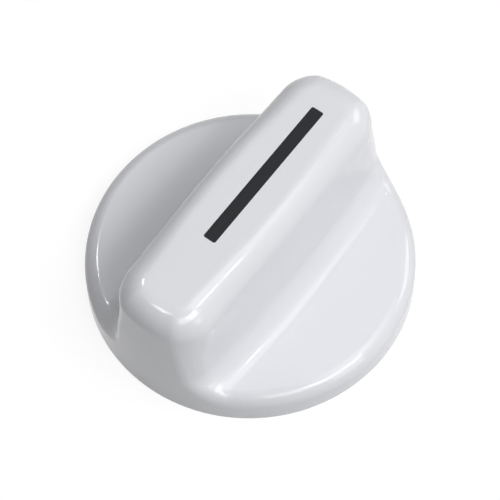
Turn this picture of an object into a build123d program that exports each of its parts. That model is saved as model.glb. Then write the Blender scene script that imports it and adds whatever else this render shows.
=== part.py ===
from build123d import *
import math
import os

# Timer knob for a tumble dryer: a hollow white moulding with a grip bar across its whole width,
# a black pointer line set flush in the bar's top and a steel ring pressed round the shaft socket.
# X runs across the bar, +Y along it towards the pointer end, and Z away from the dryer's panel.
# The origin is in the middle of the rim that faces the panel. Millimetres and degrees.

# Outside of the moulding
skirt_radius = 32.0
knob_height = 28.8
wall_draft = 1.8
base_height = 6.4
grip_width = 19.2
grip_draft = 5.0
grip_side_radius = 300.0
grip_corner_radius = 6.0
grip_corner_turn = 50.0
grip_edge_radius = 4.6
grip_end_radius = 6.4
grip_end_turn = 76.0
scoop_radius = 5.0
rim_radius = 3.0

# Inside of the moulding
wall = 2.2
hollow_edge_chamfer = 2.2
hollow_foot_chamfer = 3.5
hub_radius = 5.5
hub_recess = 1.2
rib_thickness = 1.6
bar_rib_depth = 7.0
base_rib_spacing = 22.0
base_rib_recess = 1.2
rib_to_ring = 1.0

# Socket for a 6.35 mm shaft with a flat on one side
shaft_radius = 3.175
shaft_flat_distance = 1.575
shaft_clearance = 0.075
socket_depth = 18.0

# Steel ring pushed over the hub's stepped lower end
ring_thickness = 0.6
ring_height = 5.0
ring_gap = 2.0
ring_step_depth = 0.3
ring_recess = 0.8
ring_seat_radius = hub_radius - ring_step_depth
ring_top = hub_recess + ring_recess + ring_height

# Pointer line in the top of the bar
line_width = 2.64
line_length = 33.7
line_tip = 22.1
line_depth = 0.4
line_corner_radius = 0.4

# How far cutting shapes reach past what they cut
overcut = 5.0
reach = skirt_radius + overcut

# How near to the wall an edge of the rim's loop lies
loop_tolerance = 0.005


def shoulder_arc():
    """Arc of the turned blank, in its half section, from the top of the leaning wall towards the flat top."""
    lean = math.radians(wall_draft)
    centre_z = knob_height - grip_end_radius * math.sin(math.radians(grip_end_turn))
    wall_top_z = centre_z + grip_end_radius * math.sin(lean)
    centre_x = skirt_radius - wall_top_z * math.tan(lean) - grip_end_radius * math.cos(lean)
    return CenterArc((centre_x, centre_z), grip_end_radius, wall_draft, grip_end_turn - wall_draft)


def round_blank():
    """Turned blank: a leaning wall that curves over towards the flat top."""
    shoulder = shoulder_arc()
    outline = Polyline(shoulder @ 1, (0, knob_height), (0, 0), (skirt_radius, 0), shoulder @ 0)
    return revolve(Plane.XZ * make_face(outline + shoulder), Axis.Z)


def corner_start():
    """How far along the bar its flanks begin to turn in, so that the turn ends at the wall half way up."""
    middle = (knob_height + base_height) / 2
    wall_radius = skirt_radius - middle * math.tan(math.radians(wall_draft))
    flank_x = grip_width / 2 + (knob_height - middle) * math.tan(math.radians(grip_draft))
    turn = math.radians(grip_corner_turn)
    end_x = flank_x - grip_corner_radius * (1 - math.cos(turn))
    return math.sqrt(wall_radius**2 - end_x**2) - grip_corner_radius * math.sin(turn)


def along_side(section):
    """Section carried along the +X side of the bar: bowed out a little, and turned in round both ends."""
    far_axis = Axis((grip_width / 2 - grip_side_radius, 0, 0), (0, 0, 1))
    half_bow = math.degrees(math.asin(corner_start() / grip_side_radius))
    side = revolve((Plane.XZ * section).rotate(far_axis, -half_bow), far_axis, 2 * half_bow)
    corner_x = grip_width / 2 - grip_corner_radius
    corner_axis = Axis((corner_x, 0, 0), (0, 0, 1))
    outer_half = Pos(corner_x, 0) * Rectangle(2 * reach, 4 * reach, align=(Align.MIN, Align.CENTER))
    for end in (1, -1):
        corner = revolve(Plane.XZ * (section & outer_half), corner_axis, end * 90)
        side += corner.rotate(far_axis, end * half_bow)
    return side


def side_scoop():
    """Cut that frees the +X side of the bar: rounded top edge, leaning flank, hollow sweep and base."""
    top_corner = (grip_width / 2, knob_height)
    drop = knob_height - base_height
    foot = (grip_width / 2 + drop * math.tan(math.radians(grip_draft)), base_height)
    start = (0, knob_height)
    end = (reach, base_height)
    surface = FilletPolyline(start, top_corner, foot, end, radius=[grip_edge_radius, scoop_radius])
    above = Polyline(end, (reach, knob_height + overcut), (0, knob_height + overcut), start)
    return along_side(make_face(surface + above))


def hollow_blank():
    """Inside of the turned wall and the top, chamfered between them and open below the rim."""
    lean = math.radians(wall_draft)
    top = knob_height - wall
    chamfer_z = top - hollow_edge_chamfer
    foot_radius = skirt_radius - wall / math.cos(lean)

    def wall_at(height):
        return foot_radius - height * math.tan(lean)

    axis_points = [(0, top), (0, -overcut)]
    wall_points = [(wall_at(z), z) for z in (-overcut, chamfer_z)]
    chamfer_end = (wall_at(top) - hollow_edge_chamfer, top)
    outline = Polyline(*axis_points, *wall_points, chamfer_end, close=True)
    return revolve(Plane.XZ * make_face(outline), Axis.Z)


def hollow_side():
    """Cut that keeps the hollow a wall's thickness inside the +X flank and base."""
    lean = math.radians(grip_draft)
    top = knob_height - wall
    floor = base_height - wall
    top_half = grip_width / 2 + wall * math.tan(lean) - wall / math.cos(lean)
    foot_half = top_half + (top - floor) * math.tan(lean)
    surface = [(0, top), (top_half, top), (foot_half, floor), (reach, floor)]
    above = [(reach, knob_height + overcut), (0, knob_height + overcut)]
    section = make_face(Polyline(*surface, *above, close=True))
    section = chamfer(section.vertices().sort_by_distance(surface[1])[0], hollow_edge_chamfer)
    section = chamfer(section.vertices().sort_by_distance(surface[2])[0], hollow_foot_chamfer)
    return along_side(section)


def scooped(blank, side):
    """The blank with a side cut away from +X and from -X."""
    return blank - side - mirror(side, Plane.YZ)


def rim_loop(form):
    """Edges where the wall meets the top and the scoops: one smooth loop over both ends of the bar."""
    shoulder = shoulder_arc()
    wall_top = shoulder @ 0
    samples = (0, 0.25, 0.5, 0.75, 1)

    def on_wall(point):
        radius = math.hypot(point.X, point.Y)
        if point.Z > wall_top.Y:
            from_centre = math.hypot(radius - shoulder.arc_center.X, point.Z - shoulder.arc_center.Y)
            return abs(from_centre - grip_end_radius) < loop_tolerance
        leaning = skirt_radius - point.Z * math.tan(math.radians(wall_draft))
        return abs(radius - leaning) < loop_tolerance

    def level_at(edge, height):
        return all(abs((edge @ t).Z - height) < loop_tolerance for t in samples)

    curved = form.edges().filter_by(GeomType.LINE, reverse=True)
    outer = [edge for edge in curved if all(on_wall(edge @ t) for t in samples)]
    return [edge for edge in outer if not level_at(edge, 0) and not level_at(edge, wall_top.Y)]


def hub():
    """Round post from inside the bar's top down to just above the rim plane."""
    length = knob_height - hub_recess
    on_floor = (Align.CENTER, Align.CENTER, Align.MIN)
    return Pos(0, 0, hub_recess) * Cylinder(hub_radius, length, align=on_floor)


def ribs():
    """Stiffening ribs: across the bar at the hub, along the bar under its top, and under the base."""
    above_ring = ring_top + rib_to_ring
    on_floor = (Align.CENTER, Align.CENTER, Align.MIN)
    across = Pos(0, 0, above_ring) * Box(2 * reach, rib_thickness, knob_height, align=on_floor)
    along_bottom = knob_height - wall - bar_rib_depth
    along = Pos(0, 0, along_bottom) * Box(rib_thickness, 2 * reach, knob_height, align=on_floor)
    from_bar = (Align.MIN, Align.CENTER, Align.MIN)
    under_base = Box(reach, rib_thickness, base_height + scoop_radius, align=from_bar)
    pair = []
    for side_y in (-base_rib_spacing / 2, base_rib_spacing / 2):
        right = Pos(grip_width / 2, side_y, base_rib_recess) * under_base
        pair += [right, mirror(right, Plane.YZ)]
    return [across, along] + pair


def socket():
    """Shaft hole with one flat side, open at the hub's lower end."""
    radius = shaft_radius + shaft_clearance
    flat = shaft_flat_distance + shaft_clearance
    keep = Pos(0, flat) * Rectangle(2 * radius, 4 * radius, align=(Align.CENTER, Align.MAX))
    length = socket_depth + overcut
    return Pos(0, 0, hub_recess - overcut) * extrude(Circle(radius) & keep, amount=length)


def tube(inner, outer, bottom, top):
    """Round tube about the shaft's axis."""
    return Pos(0, 0, bottom) * extrude(Circle(outer) - Circle(inner), amount=top - bottom)


def make_knob_body():
    """The white moulding, one piece."""
    outside = scooped(round_blank(), side_scoop())
    outside = fillet(rim_loop(outside), rim_radius)
    hollow = scooped(hollow_blank(), hollow_side()) - hub()
    for rib in ribs():
        hollow -= rib
    ring_step = tube(ring_seat_radius, hub_radius, hub_recess - overcut, ring_top)
    return outside - hollow - socket() - ring_step - make_indicator_line()


def make_hub_ring():
    """Open steel band pushed up against the hub's step, with its gap towards the tail of the bar."""
    band = tube(ring_seat_radius, ring_seat_radius + ring_thickness, ring_top - ring_height, ring_top)
    gap = Box(ring_gap, reach, 2 * knob_height, align=(Align.CENTER, Align.MAX, Align.CENTER))
    return band - gap


def make_indicator_line():
    """Flat black strip that fills a shallow pocket in the top of the bar."""
    plan = RectangleRounded(line_width, line_length, line_corner_radius)
    place = Pos(0, line_tip - line_length / 2, knob_height - line_depth)
    return place * extrude(plan, amount=line_depth)


nodes = {
    "knob_body": make_knob_body(),
    "hub_ring": make_hub_ring(),
    "indicator_line": make_indicator_line(),
}
os.makedirs("parts", exist_ok=True)
for name, piece in nodes.items():
    export_step(piece, f"parts/{name}.step")
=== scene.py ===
"""Studio scene of a white dryer timer knob with a black pointer line and a steel ring on its hub."""
import logging
import math
from dataclasses import dataclass
from enum import Enum

import bmesh
import bpy
from mathutils import Matrix, Vector
from mathutils.bvhtree import BVHTree


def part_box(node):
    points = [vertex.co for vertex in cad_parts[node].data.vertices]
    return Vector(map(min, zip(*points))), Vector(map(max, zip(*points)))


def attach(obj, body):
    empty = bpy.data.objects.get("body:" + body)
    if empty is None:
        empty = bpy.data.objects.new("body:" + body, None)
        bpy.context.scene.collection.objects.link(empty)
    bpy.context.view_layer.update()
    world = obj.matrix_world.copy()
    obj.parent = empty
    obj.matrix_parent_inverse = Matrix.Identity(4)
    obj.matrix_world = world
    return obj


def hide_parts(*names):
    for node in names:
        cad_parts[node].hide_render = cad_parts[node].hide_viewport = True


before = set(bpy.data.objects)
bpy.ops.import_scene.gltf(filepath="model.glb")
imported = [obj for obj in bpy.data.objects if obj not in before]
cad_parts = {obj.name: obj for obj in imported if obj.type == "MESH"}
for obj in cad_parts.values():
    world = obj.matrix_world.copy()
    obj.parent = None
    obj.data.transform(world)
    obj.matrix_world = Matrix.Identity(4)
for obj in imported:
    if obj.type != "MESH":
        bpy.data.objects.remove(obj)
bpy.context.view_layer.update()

Colour = tuple[float, float, float]
Scales = tuple[float, float, float]
MILLIMETRE = 0.001
MIDDLE_HEIGHT = 12.0 * MILLIMETRE
JOIN_DISTANCE = 0.002 * MILLIMETRE
CREASE_ANGLE = math.radians(28.0)
PATTERN_LOW = 0.3
PATTERN_HIGH = 0.7

log = logging.getLogger("dryer_knob")


class Node(Enum):
    """The solids that the frame brings in."""

    MOULDING = "knob_body"
    POINTER_LINE = "indicator_line"
    HUB_RING = "hub_ring"


class NodeSheet:
    """A material whose nodes are laid out one call at a time."""

    def __init__(self, name: str) -> None:
        """Start an empty node tree for a new material.

        Args:
            name: Name of the material.
        """
        self.material: bpy.types.Material = bpy.data.materials.new(name)
        self.material.use_nodes = True
        self.nodes = self.material.node_tree.nodes
        self.links = self.material.node_tree.links
        self.nodes.clear()

    def add(self, kind: str, **values: object) -> bpy.types.Node:
        """Add a node and set its input sockets.

        Args:
            kind: Blender's name for the node type.
            values: Socket values, by socket name with underscores for spaces.

        Returns:
            The new node.
        """
        node = self.nodes.new(kind)
        for name, value in values.items():
            node.inputs[name.replace("_", " ")].default_value = value
        return node

    def link(self, source: bpy.types.NodeSocket, target: bpy.types.NodeSocket) -> None:
        """Join an output socket to an input socket."""
        self.links.new(source, target)

    def noise(self, scale: float, detail: float, stretch: Scales = (1.0, 1.0, 1.0)) -> bpy.types.NodeSocket:
        """Cloudy pattern on Object coordinates.

        Args:
            scale: Features per metre.
            detail: Octaves of finer pattern.
            stretch: Extra scale along each axis.

        Returns:
            The pattern's value socket, mostly between PATTERN_LOW and PATTERN_HIGH.
        """
        place = self.add("ShaderNodeTexCoord")
        mapping = self.add("ShaderNodeMapping", Scale=stretch)
        pattern = self.add("ShaderNodeTexNoise", Scale=scale, Detail=detail)
        self.link(place.outputs["Object"], mapping.inputs["Vector"])
        self.link(mapping.outputs["Vector"], pattern.inputs["Vector"])
        return pattern.outputs["Fac"]

    def spread(self, value: bpy.types.NodeSocket, low: float, high: float) -> bpy.types.NodeSocket:
        """Turn a pattern into a number between two limits.

        Args:
            value: Pattern mostly between PATTERN_LOW and PATTERN_HIGH.
            low: Result at the low end.
            high: Result at the high end.

        Returns:
            The result's socket.
        """
        ranged = self.add(
            "ShaderNodeMapRange", From_Min=PATTERN_LOW, From_Max=PATTERN_HIGH, To_Min=low, To_Max=high
        )
        self.link(value, ranged.inputs["Value"])
        return ranged.outputs["Result"]

    def blend(self, share: bpy.types.NodeSocket, first: Colour, second: Colour) -> bpy.types.NodeSocket:
        """Mix two colours by a pattern.

        Args:
            share: Pattern, 0 for the first colour and 1 for the second.
            first: Linear colour at 0.
            second: Linear colour at 1.

        Returns:
            The mixed colour's socket.
        """
        mix = self.nodes.new("ShaderNodeMix")
        mix.data_type = "RGBA"
        mix.inputs["A"].default_value = (*first, 1.0)
        mix.inputs["B"].default_value = (*second, 1.0)
        self.link(share, mix.inputs["Factor"])
        return mix.outputs["Result"]

    def bump(self, height: bpy.types.NodeSocket, depth: float, strength: float) -> bpy.types.NodeSocket:
        """Shade a pattern as relief.

        Args:
            height: Pattern of heights.
            depth: Height in metres of a full step.
            strength: Share of the relief that shows.

        Returns:
            The changed normal's socket.
        """
        node = self.add("ShaderNodeBump", Strength=strength, Distance=depth)
        self.link(height, node.inputs["Height"])
        return node.outputs["Normal"]

    def surface(self, shader: bpy.types.NodeSocket) -> bpy.types.Material:
        """Finish the material with its surface shader.

        Args:
            shader: Shader's output socket.

        Returns:
            The finished material.
        """
        output = self.nodes.new("ShaderNodeOutputMaterial")
        self.link(shader, output.inputs["Surface"])
        return self.material


@dataclass(frozen=True)
class GlossWhitePlastic:
    """White moulded plastic with a polished skin: faint clouds, uneven gloss and a trace of orange peel."""

    bright: Colour = (0.80, 0.81, 0.845)
    dull: Colour = (0.77, 0.78, 0.815)
    smoothest: float = 0.06
    roughest: float = 0.11
    refraction: float = 1.49
    cloud_scale: float = 45.0
    cloud_detail: float = 3.0
    gloss_scale: float = 260.0
    gloss_detail: float = 2.0
    peel_scale: float = 700.0
    peel_detail: float = 1.0
    peel_depth: float = 0.00004
    peel_strength: float = 0.12

    def material(self) -> bpy.types.Material:
        """Lay out the finish.

        Returns:
            The material.
        """
        sheet = NodeSheet("gloss_white_plastic")
        shader = sheet.add("ShaderNodeBsdfPrincipled", IOR=self.refraction)
        clouds = sheet.noise(self.cloud_scale, self.cloud_detail)
        sheet.link(sheet.blend(clouds, self.dull, self.bright), shader.inputs["Base Color"])
        gloss = sheet.noise(self.gloss_scale, self.gloss_detail)
        sheet.link(sheet.spread(gloss, self.smoothest, self.roughest), shader.inputs["Roughness"])
        peel = sheet.noise(self.peel_scale, self.peel_detail)
        sheet.link(sheet.bump(peel, self.peel_depth, self.peel_strength), shader.inputs["Normal"])
        return sheet.surface(shader.outputs["BSDF"])


@dataclass(frozen=True)
class MatteBlackFill:
    """Black line fill: matte, with a fine grain in its tone and surface."""

    dark: Colour = (0.008, 0.0085, 0.011)
    pale: Colour = (0.020, 0.0205, 0.024)
    smoothest: float = 0.50
    roughest: float = 0.70
    refraction: float = 1.30
    grain_scale: float = 3200.0
    grain_detail: float = 4.0
    grain_depth: float = 0.00003
    grain_strength: float = 0.35

    def material(self) -> bpy.types.Material:
        """Lay out the finish.

        Returns:
            The material.
        """
        sheet = NodeSheet("matte_black_fill")
        shader = sheet.add("ShaderNodeBsdfPrincipled", IOR=self.refraction)
        grain = sheet.noise(self.grain_scale, self.grain_detail)
        sheet.link(sheet.blend(grain, self.dark, self.pale), shader.inputs["Base Color"])
        sheet.link(sheet.spread(grain, self.smoothest, self.roughest), shader.inputs["Roughness"])
        sheet.link(sheet.bump(grain, self.grain_depth, self.grain_strength), shader.inputs["Normal"])
        return sheet.surface(shader.outputs["BSDF"])


@dataclass(frozen=True)
class RolledSteel:
    """Bright strip steel, with the rolling marks running round the ring."""

    bright: Colour = (0.62, 0.61, 0.59)
    dull: Colour = (0.48, 0.47, 0.46)
    smoothest: float = 0.22
    roughest: float = 0.42
    mark_scale: float = 350.0
    mark_detail: float = 3.0
    mark_stretch: float = 22.0
    mark_depth: float = 0.00002
    mark_strength: float = 0.25

    def material(self) -> bpy.types.Material:
        """Lay out the finish.

        Returns:
            The material.
        """
        sheet = NodeSheet("rolled_steel")
        shader = sheet.add("ShaderNodeBsdfPrincipled", Metallic=1.0)
        marks = sheet.noise(self.mark_scale, self.mark_detail, (1.0, 1.0, self.mark_stretch))
        sheet.link(sheet.blend(marks, self.dull, self.bright), shader.inputs["Base Color"])
        sheet.link(sheet.spread(marks, self.smoothest, self.roughest), shader.inputs["Roughness"])
        sheet.link(sheet.bump(marks, self.mark_depth, self.mark_strength), shader.inputs["Normal"])
        return sheet.surface(shader.outputs["BSDF"])


def grey(level: float) -> tuple[float, float, float, float]:
    """Opaque neutral colour of one level."""
    return (level, level, level, 1.0)


@dataclass(frozen=True)
class StudioFloor:
    """Plain white floor: bright to the eye, and still darkened where the knob shades it."""

    half_side: float = 3.0
    albedo: float = 0.58
    glow: float = 0.86
    lit_share: float = 0.20

    def material(self) -> bpy.types.Material:
        """Lay out the finish.

        Returns:
            The material.
        """
        sheet = NodeSheet("white_floor")
        paint = sheet.add("ShaderNodeBsdfDiffuse", Color=grey(self.albedo))
        glow = sheet.add("ShaderNodeEmission", Strength=self.glow)
        dimmed = sheet.add("ShaderNodeBsdfDiffuse", Color=grey(self.lit_share))
        seen = sheet.nodes.new("ShaderNodeAddShader")
        sheet.link(glow.outputs["Emission"], seen.inputs[0])
        sheet.link(dimmed.outputs["BSDF"], seen.inputs[1])
        choose = sheet.nodes.new("ShaderNodeMixShader")
        sheet.link(seen_directly(sheet.nodes, sheet.links), choose.inputs["Fac"])
        sheet.link(paint.outputs["BSDF"], choose.inputs[1])
        sheet.link(seen.outputs["Shader"], choose.inputs[2])
        return sheet.surface(choose.outputs["Shader"])

    def build(self) -> bpy.types.Object:
        """Make the floor in the rim's plane.

        Returns:
            The floor's object.
        """
        form = bmesh.new()
        bmesh.ops.create_grid(form, x_segments=1, y_segments=1, size=self.half_side)
        floor = new_object("studio_floor", form)
        floor.data.materials.append(self.material())
        return floor


def seen_directly(nodes: bpy.types.Nodes, links: bpy.types.NodeLinks) -> bpy.types.NodeSocket:
    """Test for rays that show a surface to the eye, straight, by reflection or through glass.

    Args:
        nodes: Nodes of the tree to add to.
        links: Links of the same tree.

    Returns:
        Socket that is 1 for such rays and 0 for light that bounces about.
    """
    path = nodes.new("ShaderNodeLightPath")
    total = path.outputs["Is Camera Ray"]
    for name in ("Is Glossy Ray", "Is Transmission Ray"):
        either = nodes.new("ShaderNodeMath")
        either.operation = "MAXIMUM"
        links.new(total, either.inputs[0])
        links.new(path.outputs[name], either.inputs[1])
        total = either.outputs["Value"]
    return total


def new_object(name: str, form: bmesh.types.BMesh) -> bpy.types.Object:
    """Turn a bmesh into a linked object at the origin.

    Args:
        name: Name of the object and its mesh.
        form: The bmesh, which is freed.

    Returns:
        The new object.
    """
    mesh = bpy.data.meshes.new(name)
    form.to_mesh(mesh)
    form.free()
    made = bpy.data.objects.new(name, mesh)
    bpy.context.scene.collection.objects.link(made)
    return made


@dataclass
class SmoothSkin:
    """Clean shading for a solid made of loose triangles: joined, creased at true edges, even elsewhere."""

    join_distance: float = JOIN_DISTANCE
    crease_angle: float = CREASE_ANGLE

    def apply(self, piece: bpy.types.Object) -> None:
        """Add the modifiers to a piece.

        Args:
            piece: Object whose shading is cleaned.
        """
        join = piece.modifiers.new("join_triangles", "WELD")
        join.merge_threshold = self.join_distance
        crease = piece.modifiers.new("crease_edges", "EDGE_SPLIT")
        crease.split_angle = self.crease_angle
        crease.use_edge_sharp = False
        even = piece.modifiers.new("even_normals", "WEIGHTED_NORMAL")
        even.mode = "FACE_AREA"
        even.keep_sharp = True


def ease(value: float, start: float, end: float) -> float:
    """Rise smoothly from 0 to 1.

    Args:
        value: Where to look.
        start: Value at which the rise begins.
        end: Value at which it is complete.

    Returns:
        Share from 0 to 1.
    """
    share = min(max((value - start) / (end - start), 0.0), 1.0)
    return share * share * (3.0 - 2.0 * share)


@dataclass
class SoftEnds:
    """The moulding with both ends of its bar rounded over softly, like the edge of a pillow."""

    half_width: float = 9.6 * MILLIMETRE
    flank_lean: float = math.radians(5.0)
    wall_lean: float = math.radians(2.2)
    side_bow_radius: float = 650.0 * MILLIMETRE
    corner: float = 5.4 * MILLIMETRE
    rounding: float = 5.0 * MILLIMETRE
    foot: float = 6.0 * MILLIMETRE
    round_steps: int = 36
    side_steps: int = 90
    straight_least: float = 2.0 * MILLIMETRE
    join_distance: float = JOIN_DISTANCE
    longest_edge: float = 0.8 * MILLIMETRE
    halvings: int = 6
    crease_angle: float = CREASE_ANGLE
    along_start: float = 8.0 * MILLIMETRE
    along_full: float = 23.0 * MILLIMETRE
    height_start: float = 13.0 * MILLIMETRE
    height_full: float = 24.0 * MILLIMETRE

    def weight(self, place: Vector) -> float:
        """Share of the softening at a place: none on the base, whole at the bar's ends."""
        along = ease(abs(place.y), self.along_start, self.along_full)
        return along * ease(place.z, self.height_start, self.height_full)

    def plan(self, foot_width: float, foot_radius: float) -> bmesh.types.BMesh:
        """Flat plan of the bar at its foot: round corners, bowed sides and ends that follow the wall.

        Args:
            foot_width: Half the bar's width at its foot.
            foot_radius: Radius of the wall there.

        Returns:
            The plan as one fine-edged face.
        """
        form = bmesh.new()
        bmesh.ops.create_grid(form, x_segments=1, y_segments=1, size=1.0)
        bmesh.ops.scale(form, vec=(foot_width, foot_radius, 1.0), verts=form.verts)
        bmesh.ops.bevel(
            form, geom=form.verts[:], affect="VERTICES", offset=self.corner, offset_type="OFFSET",
            segments=self.round_steps, profile=0.5, material=-1,
        )
        straight = [edge for edge in form.edges if edge.calc_length() > self.straight_least]
        bmesh.ops.subdivide_edges(form, edges=straight, cuts=self.side_steps)
        for vert in form.verts:
            x, y, _ = vert.co
            bow = y ** 2 / (2.0 * self.side_bow_radius)
            vert.co.x = x * (1.0 - bow / foot_width)
            vert.co.y = y * math.sqrt(1.0 - (x / foot_radius) ** 2)
            vert.co.z = self.foot
        return form

    def pillow(self, radius: float, top: float) -> BVHTree:
        """Bar with round plan corners and one even rounding all round its top edge.

        Args:
            radius: Radius of the knob at its rim.
            top: Height of the bar's top.

        Returns:
            The bar's surface, for nearest-point searches.
        """
        foot_width = self.half_width + (top - self.foot) * math.tan(self.flank_lean)
        foot_radius = radius - self.foot * math.tan(self.wall_lean)
        top_radius = radius - top * math.tan(self.wall_lean)
        form = self.plan(foot_width, foot_radius)
        raised = bmesh.ops.extrude_face_region(form, geom=form.faces[:])["geom"]
        lid = [item for item in raised if isinstance(item, bmesh.types.BMVert)]
        lean = Vector((self.half_width / foot_width, top_radius / foot_radius, 1.0))
        bmesh.ops.scale(form, vec=lean, verts=lid)
        bmesh.ops.translate(form, vec=(0, 0, top - self.foot), verts=lid)
        edge_loop = [edge for edge in form.edges if all(v in lid for v in edge.verts)]
        bmesh.ops.bevel(
            form, geom=edge_loop, affect="EDGES", offset=self.rounding, offset_type="OFFSET",
            segments=self.round_steps, profile=0.5, material=-1,
        )
        surface = BVHTree.FromBMesh(form)
        form.free()
        return surface

    def outer_faces(self, form: bmesh.types.BMesh) -> set[bmesh.types.BMFace]:
        """Faces of the outside, reached from the top without crossing a sharp edge.

        Args:
            form: The moulding, joined.

        Returns:
            The faces.
        """
        top = max(form.faces, key=lambda face: face.calc_center_median().z)
        found = {top}
        waiting = [top]
        while waiting:
            for edge in waiting.pop().edges:
                if not edge.is_manifold or edge.calc_face_angle() > self.crease_angle:
                    continue
                for face in edge.link_faces:
                    if face not in found:
                        found.add(face)
                        waiting.append(face)
        return found

    def refine(self, form: bmesh.types.BMesh) -> None:
        """Halve long edges near the bar's ends, so that the mesh is fine enough to round over.

        Args:
            form: The moulding, joined.
        """
        for _ in range(self.halvings):
            outside = self.outer_faces(form)
            edges = {edge for face in outside for edge in face.edges}
            long_edges = [
                edge for edge in edges
                if edge.calc_length() > self.longest_edge
                and all(face in outside for face in edge.link_faces)
                and max(self.weight(corner.co) for corner in edge.verts) > 0.0
            ]
            bmesh.ops.subdivide_edges(form, edges=long_edges, cuts=1)
            bmesh.ops.triangulate(form, faces=[face for face in form.faces if len(face.verts) > 3])

    def build(self, moulding: bpy.types.Object) -> bpy.types.Object:
        """Make the softened moulding in the solid's place.

        Args:
            moulding: The solid moulding.

        Returns:
            The softened moulding's object.
        """
        _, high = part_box(moulding.name)
        pillow = self.pillow(high[0], high[2])
        form = bmesh.new()
        form.from_mesh(moulding.data)
        bmesh.ops.remove_doubles(form, verts=form.verts, dist=self.join_distance)
        self.refine(form)
        corners = {corner for face in self.outer_faces(form) for corner in face.verts}
        for corner in corners:
            share = self.weight(corner.co)
            if share > 0.0:
                nearest = pillow.find_nearest(corner.co)[0]
                corner.co = corner.co.lerp(nearest, share)
        for face in form.faces:
            face.smooth = True
        made = new_object("soft_moulding", form)
        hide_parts(moulding.name)
        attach(made, "root")
        return made


@dataclass
class Knob:
    """The knob's three pieces with their finishes, the moulding softened at the ends of its bar."""

    ends: SoftEnds
    skin: SmoothSkin
    plastic: GlossWhitePlastic
    fill: MatteBlackFill
    steel: RolledSteel

    def dress(self, piece: bpy.types.Object, material: bpy.types.Material) -> None:
        """Give one piece its finish and clean shading.

        Args:
            piece: The piece's object.
            material: Its finish.
        """
        piece.data.materials.clear()
        piece.data.materials.append(material)
        self.skin.apply(piece)
        log.info("%s dressed in %s", piece.name, material.name)

    def build(self) -> None:
        """Soften the moulding and dress every piece of the knob."""
        solids = {node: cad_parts[node.value] for node in Node}
        moulding = self.ends.build(solids[Node.MOULDING])
        self.dress(moulding, self.plastic.material())
        self.dress(solids[Node.POINTER_LINE], self.fill.material())
        self.dress(solids[Node.HUB_RING], self.steel.material())


@dataclass(frozen=True)
class Softbox:
    """A square studio lamp that faces the knob: angles in degrees, lengths in metres."""

    name: str
    azimuth: float
    elevation: float
    watts: float
    distance: float = 0.9
    side: float = 0.36

    def build(self, aim: Vector) -> bpy.types.Object:
        """Hang the lamp.

        Args:
            aim: Point that it faces.

        Returns:
            The lamp's object.
        """
        turn = math.radians(self.azimuth)
        rise = math.radians(self.elevation)
        away = Vector((math.cos(turn) * math.cos(rise), math.sin(turn) * math.cos(rise), math.sin(rise)))
        data = bpy.data.lights.new(self.name, "AREA")
        data.energy = self.watts
        data.size = self.side
        lamp = bpy.data.objects.new(self.name, data)
        lamp.location = aim + away * self.distance
        lamp.rotation_euler = away.to_track_quat("Z", "Y").to_euler()
        bpy.context.scene.collection.objects.link(lamp)
        return lamp


@dataclass
class Studio:
    """Floor, lamps and surroundings."""

    floor: StudioFloor
    lamps: tuple[Softbox, ...]
    aim_height: float = MIDDLE_HEIGHT
    ambient: float = 0.0

    def surroundings(self) -> None:
        """Make a plain world: dark as a light, white to the eye."""
        world = bpy.data.worlds.new("studio")
        world.use_nodes = True
        nodes = world.node_tree.nodes
        links = world.node_tree.links
        nodes.clear()
        dim = nodes.new("ShaderNodeBackground")
        dim.inputs["Strength"].default_value = self.ambient
        white = nodes.new("ShaderNodeBackground")
        choose = nodes.new("ShaderNodeMixShader")
        output = nodes.new("ShaderNodeOutputWorld")
        links.new(seen_directly(nodes, links), choose.inputs["Fac"])
        links.new(dim.outputs["Background"], choose.inputs[1])
        links.new(white.outputs["Background"], choose.inputs[2])
        links.new(choose.outputs["Shader"], output.inputs["Surface"])
        bpy.context.scene.world = world

    def build(self) -> None:
        """Set the studio up."""
        log.info("%s laid", self.floor.build().name)
        self.surroundings()
        aim = Vector((0, 0, self.aim_height))
        for lamp in self.lamps:
            log.info("%s hung", lamp.build(aim).name)


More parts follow.
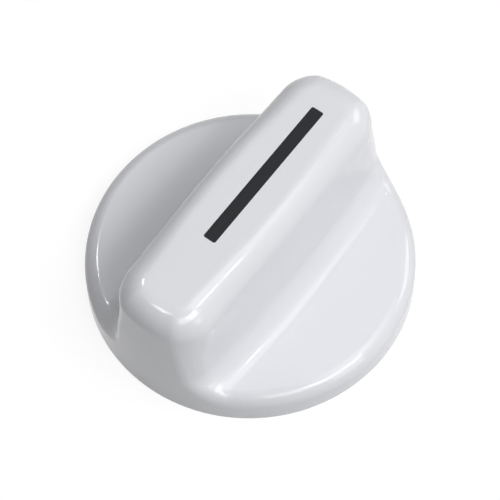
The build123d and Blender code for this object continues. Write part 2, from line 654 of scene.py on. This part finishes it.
@dataclass(frozen=True)
class Viewpoint:
    """The photograph's camera: degrees, metres, and places in pixels of a square picture."""

    azimuth: float = 38.96
    elevation: float = 62.09
    roll: float = -2.61
    distance: float = 0.400
    subject_height: float = MIDDLE_HEIGHT
    picture_side: float = 500.0
    pixels_per_metre: float = 5287.0
    subject_pixel: tuple[float, float] = (249.15, 237.28)
    sensor: float = 36.0

    def build(self) -> bpy.types.Object:
        """Place the camera and make it the scene's own.

        Returns:
            The camera's object.
        """
        turn = math.radians(self.azimuth)
        rise = math.radians(self.elevation)
        ahead = Vector((-math.sin(turn) * math.cos(rise), math.cos(turn) * math.cos(rise), -math.sin(rise)))
        level = Vector((math.cos(turn), math.sin(turn), 0))
        lean = Matrix.Rotation(-math.radians(self.roll), 3, ahead)
        right = lean @ level
        up = right.cross(ahead)
        subject = Vector((0, 0, self.subject_height))
        place = subject - ahead * self.distance
        half = self.picture_side / 2
        aside = (half - self.subject_pixel[0]) / self.pixels_per_metre
        below = (half - self.subject_pixel[1]) / self.pixels_per_metre
        gaze = (subject + right * aside - up * below - place).normalized()
        right = (right - gaze * right.dot(gaze)).normalized()
        up = right.cross(gaze)
        data = bpy.data.cameras.new("photo_camera")
        data.sensor_width = self.sensor
        data.lens = self.pixels_per_metre * self.distance * self.sensor / self.picture_side
        camera = bpy.data.objects.new("photo_camera", data)
        turned = Matrix((right, up, -gaze)).transposed()
        camera.matrix_world = Matrix.Translation(place) @ turned.to_4x4()
        bpy.context.scene.collection.objects.link(camera)
        bpy.context.scene.camera = camera
        return camera


LAMPS = (
    Softbox("right_high", azimuth=0.0, elevation=50.0, watts=2.30),
    Softbox("right_back_low", azimuth=60.0, elevation=32.0, watts=1.40),
    Softbox("right_front", azimuth=-30.0, elevation=50.0, watts=1.40),
    Softbox("left_front_high", azimuth=225.0, elevation=68.0, watts=0.45),
    Softbox("right_level", azimuth=0.0, elevation=23.0, watts=0.68, side=0.30),
    Softbox("back_broad", azimuth=122.0, elevation=62.0, watts=0.92, side=0.70),
    Softbox("right_back", azimuth=30.0, elevation=50.0, watts=0.45),
    Softbox("right_back_high", azimuth=45.0, elevation=68.0, watts=1.00),
    Softbox("left_spark", azimuth=165.0, elevation=56.0, watts=0.130, distance=0.5, side=0.040),
    Softbox("right_spark", azimuth=25.3, elevation=57.2, watts=0.010, distance=0.307, side=0.011),
    Softbox("far_spark", azimuth=72.0, elevation=51.8, watts=0.011, distance=0.318, side=0.012),
    Softbox("near_spark", azimuth=-118.7, elevation=61.7, watts=0.048, distance=0.325, side=0.044),
)


def main() -> None:
    """Build the knob, the studio and the camera."""
    logging.basicConfig(level=logging.INFO, format="%(name)s: %(message)s")
    bpy.context.scene.view_settings.view_transform = "Standard"
    Knob(SoftEnds(), SmoothSkin(), GlossWhitePlastic(), MatteBlackFill(), RolledSteel()).build()
    Studio(StudioFloor(), LAMPS).build()
    log.info("%s placed", Viewpoint().build().name)


if __name__ == "__main__":
    main()
